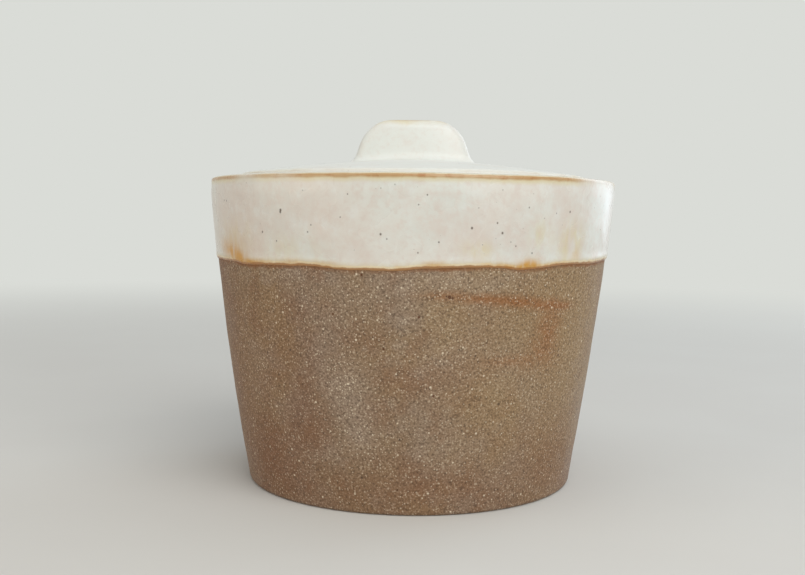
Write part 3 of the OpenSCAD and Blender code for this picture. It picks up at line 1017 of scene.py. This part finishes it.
class MISOJAR_OT_lid_glaze(bpy.types.Operator):
    """Lofts the coat over the lid's top and up over its handle, as one skin"""

    bl_idname = "misojar.lid_glaze"
    bl_label = "Lid and handle"

    @staticmethod
    def section(handle, h):
        """Half-length and half-thickness of the handle's clay, at a height above its foot."""
        low = max(handle.fillet - h, 0.0)
        flare = 0.8 * (handle.fillet - math.sqrt(handle.fillet ** 2 - low ** 2))
        share = h / handle.height

        def half(foot, top, radius):
            up = max(h - (handle.height - radius), 0.0)
            rounded_off = radius - math.sqrt(max(radius * radius - up * up, 0.0))
            return (foot + (top - foot) * share) / 2 + flare - rounded_off

        return (half(handle.foot_length, handle.top_length, handle.corner),
                half(handle.foot_thickness, handle.top_thickness, handle.edge))

    @staticmethod
    def outline(handle, angle, half_x, half_y):
        """Point of the handle's plan at an angle: an ellipse that is squared off."""
        share = 2 / handle.squareness

        def squared(value):
            return math.copysign(abs(value) ** share, value)

        return Vector((squared(math.cos(angle)) * half_x, squared(math.sin(angle)) * half_y, 0))

    def execute(self, context):
        jar = JarForm()
        sizes, handle, over = jar.sizes, jar.handle, jar.glaze.coat
        middle_z = sizes.lid_z
        top_z = middle_z + handle.height + over
        rounded = sizes.lid_r - sizes.lid_round

        def grown(h):
            return [half + over for half in self.section(handle, h)]

        def ring(r, z):
            return lambda angle: Vector((r * math.cos(angle), r * math.sin(angle), z))

        def on_dome(share):
            def point(angle):
                foot = self.outline(handle, angle, *grown(0))
                at = ring(BLEND_R, 0)(angle).lerp(foot, share)
                at.z = jar.lid_top(at.length) + over
                return at
            return point

        def on_handle(h):
            def point(angle):
                at = self.outline(handle, angle, *grown(h))
                dome = jar.lid_top(at.length) - middle_z
                at.z = middle_z + h + over + dome * (1 - h / handle.height)
                return at
            return point

        def on_top(share):
            def point(angle):
                at = self.outline(handle, angle, *[half * share for half in grown(handle.height)])
                at.z = top_z
                return at
            return point

        edge_z = jar.lid_top(rounded) - sizes.lid_round
        # The coat ends in a rounded lip on the lid's edge
        lip = [(sizes.lid_r - 0.1 * MM, edge_z - 0.8 * MM), (sizes.lid_r + 0.6 * over, edge_z - 0.7 * MM),
               (sizes.lid_r + 0.9 * over, edge_z - 0.4 * MM)]
        edge = arc((rounded, edge_z), sizes.lid_round + over, 0, 90, 9)
        dome = [(r, jar.lid_top(r) + over) for r in spread(rounded, BLEND_R, 26)[1:]]
        heights = [handle.fillet * (1 - math.cos(math.radians(a))) for a in spread(0, 90, 9)[1:]]
        heights += spread(handle.fillet, handle.height - handle.corner, 5)[1:]
        heights += [handle.height - handle.corner * (1 - math.sin(math.radians(a)))
                    for a in spread(0, 90, 19)[1:]]
        stations = [ring(r, z) for r, z in lip + edge + dome]
        stations += [on_dome(share) for share in spread(0, 1, 16)[1:]]
        stations += [on_handle(h) for h in heights]
        stations += [on_top(share) for share in (0.8, 0.5, 0.2)]
        skin = lofted(stations, LID_STEPS)

        def arris(co):
            lid_edge = 0.6 * MM + abs(sizes.lid_r - 0.3 * MM - math.hypot(co.x, co.y))
            crest = 0.7 * MM + 0.8 * (top_z - co.z)
            return closeness(min(lid_edge, crest), ARRIS_REACH * MM)

        def breaking(co):
            along = max(0.5 + 0.4 * noise.noise(co * 230) + 0.3 * noise.noise(co * 70), 0.0)
            if co.z > middle_z:
                return along
            # Along the lid's edge the front shows least of it
            return along * (1.3 - 1.1 * bump(front_angle(co), 80))

        def fresh(co):
            return 1 - 0.3 * smooth(0, 3 * MM, co.z - middle_z)

        mark(skin, arris=arris, fresh=fresh, thinned=breaking)
        move(skin, jar.uneven_lid)
        obj = piece(skin, "glaze_lid", "lid", ["lid_glaze"], "white_glaze")
        thick = obj.modifiers.new("Coat", "SOLIDIFY")
        thick.thickness = over * 0.9
        thick.offset = -1
        return {"FINISHED"}


class MISOJAR_OT_stage(bpy.types.Operator):
    """Sets the floor, the light and the camera"""

    bl_idname = "misojar.stage"
    bl_label = "Stage"

    def floor(self, stage):
        """A wide floor that fades into the backdrop's colour away from the jar."""
        bm = bmesh.new()
        bmesh.ops.create_circle(bm, cap_ends=True, segments=96, radius=FLOOR_R)
        mesh = bpy.data.meshes.new("floor")
        bm.to_mesh(mesh)
        bm.free()
        f = Finish("pale_floor", stage.floor)
        f.lay(stage.backdrop, f.step(f.noise(9, 3), 0.35, 0.65, 0.12))
        mesh.materials.append(f.finish(Roughness=0.9))
        away = f.add("ShaderNodeVectorMath", {0: f.at}, operation="LENGTH").outputs["Value"]
        haze = f.add("ShaderNodeEmission", {"Color": linear(stage.backdrop)}).outputs[0]
        fade = {0: f.step(away, *FLOOR_FADE), 1: f.shader.outputs[0], 2: haze}
        put(f.tree, f.output.inputs["Surface"], f.add("ShaderNodeMixShader", fade).outputs[0])
        in_scene("floor", mesh)

    def sky(self, stage):
        """Even light from all round, and a plain pale backdrop that is seen directly and in reflections."""
        world = bpy.data.worlds.new("studio")
        world.use_nodes = True
        tree = world.node_tree
        tree.nodes.clear()
        light = node(tree, "ShaderNodeBackground", {"Color": DAYLIGHT_TINT, "Strength": stage.daylight})
        backdrop = node(tree, "ShaderNodeBackground", {"Color": linear(stage.backdrop)})
        rays = node(tree, "ShaderNodeLightPath").outputs
        seen = rays["Is Camera Ray"]
        for kind in ("Is Glossy Ray", "Is Transmission Ray"):
            seen = node(tree, "ShaderNodeMath", {0: seen, 1: rays[kind]}, operation="MAXIMUM").outputs[0]
        mixed = node(tree, "ShaderNodeMixShader", {0: seen, 1: light.outputs[0], 2: backdrop.outputs[0]})
        node(tree, "ShaderNodeOutputWorld", {"Surface": mixed.outputs[0]})
        bpy.context.scene.world = world

    def lamp(self, name, place, size, watts, tint):
        """A large soft lamp, turned to the middle of the jar."""
        data = bpy.data.lights.new(name, "AREA")
        data.shape = "RECTANGLE"
        data.size, data.size_y = size
        data.energy = watts
        data.color = tint
        obj = in_scene(name, data)
        obj.location = place
        aim = Vector((0, 0, bpy.context.scene.misojar_sizes.rim_z / 2))
        obj.rotation_euler = (aim - obj.location).to_track_quat("-Z", "Y").to_euler()
        obj.visible_camera = False

    def camera(self, stage):
        """A camera where the photograph was taken from."""
        data = bpy.data.cameras.new("camera")
        data.sensor_fit = "HORIZONTAL"
        data.lens = stage.focal / stage.frame_w * data.sensor_width
        data.clip_start = 0.01
        obj = in_scene("camera", data)
        obj.location = (stage.camera_x, stage.camera_y, stage.camera_z)
        obj.rotation_mode = "QUATERNION"
        tilt = Quaternion((1, 0, 0), math.radians(90) - stage.pitch)
        obj.rotation_quaternion = tilt @ Quaternion((0, 0, 1), stage.roll)
        bpy.context.scene.camera = obj

    def execute(self, context):
        stage = context.scene.misojar_stage
        context.scene.view_settings.view_transform = "Standard"
        self.floor(stage)
        self.sky(stage)
        for name, place, size, tint in LAMPS:
            self.lamp(name + "_light", place, size, getattr(stage, name), tint)
        self.camera(stage)
        return {"FINISHED"}


class MISOJAR_PT_sidebar(bpy.types.Panel):
    """Lists the jar's pieces and their settings"""

    bl_idname = "MISOJAR_PT_sidebar"
    bl_label = "Miso Jar"
    bl_space_type = "VIEW_3D"
    bl_region_type = "UI"
    bl_category = "Miso Jar"

    def draw(self, context):
        for operator in OPERATORS:
            self.layout.operator(operator.bl_idname)
        for name, group in GROUPS.items():
            box = self.layout.box()
            for setting in group.__annotations__:
                box.prop(getattr(context.scene, name), setting)


GROUPS = {
    "misojar_sizes": MISOJAR_PG_sizes,
    "misojar_handle": MISOJAR_PG_handle,
    "misojar_glaze": MISOJAR_PG_glaze,
    "misojar_clay": MISOJAR_PG_clay,
    "misojar_stage": MISOJAR_PG_stage,
}
OPERATORS = (
    MISOJAR_OT_stage,
    MISOJAR_OT_jar_clay,
    MISOJAR_OT_band_glaze,
    MISOJAR_OT_spots,
    MISOJAR_OT_inner_glaze,
    MISOJAR_OT_lid_clay,
    MISOJAR_OT_lid_glaze,
)
CLASSES = (*GROUPS.values(), *OPERATORS, MISOJAR_PT_sidebar)


def register():
    """Registers the classes and hangs the settings on the scene."""
    for cls in CLASSES:
        bpy.utils.register_class(cls)
    for name, group in GROUPS.items():
        setattr(bpy.types.Scene, name, PointerProperty(type=group))


def unregister():
    """Takes the settings and the classes away again."""
    for name in GROUPS:
        delattr(bpy.types.Scene, name)
    for cls in reversed(CLASSES):
        bpy.utils.unregister_class(cls)


def main():
    """Makes the stage and the pieces."""
    register()
    bpy.ops.misojar.stage()
    bpy.ops.misojar.jar_clay()
    bpy.ops.misojar.band_glaze()
    bpy.ops.misojar.spots()
    bpy.ops.misojar.inner_glaze()
    bpy.ops.misojar.lid_clay()
    bpy.ops.misojar.lid_glaze()
    bpy.context.view_layer.update()


if __name__ == "__main__":
    main()
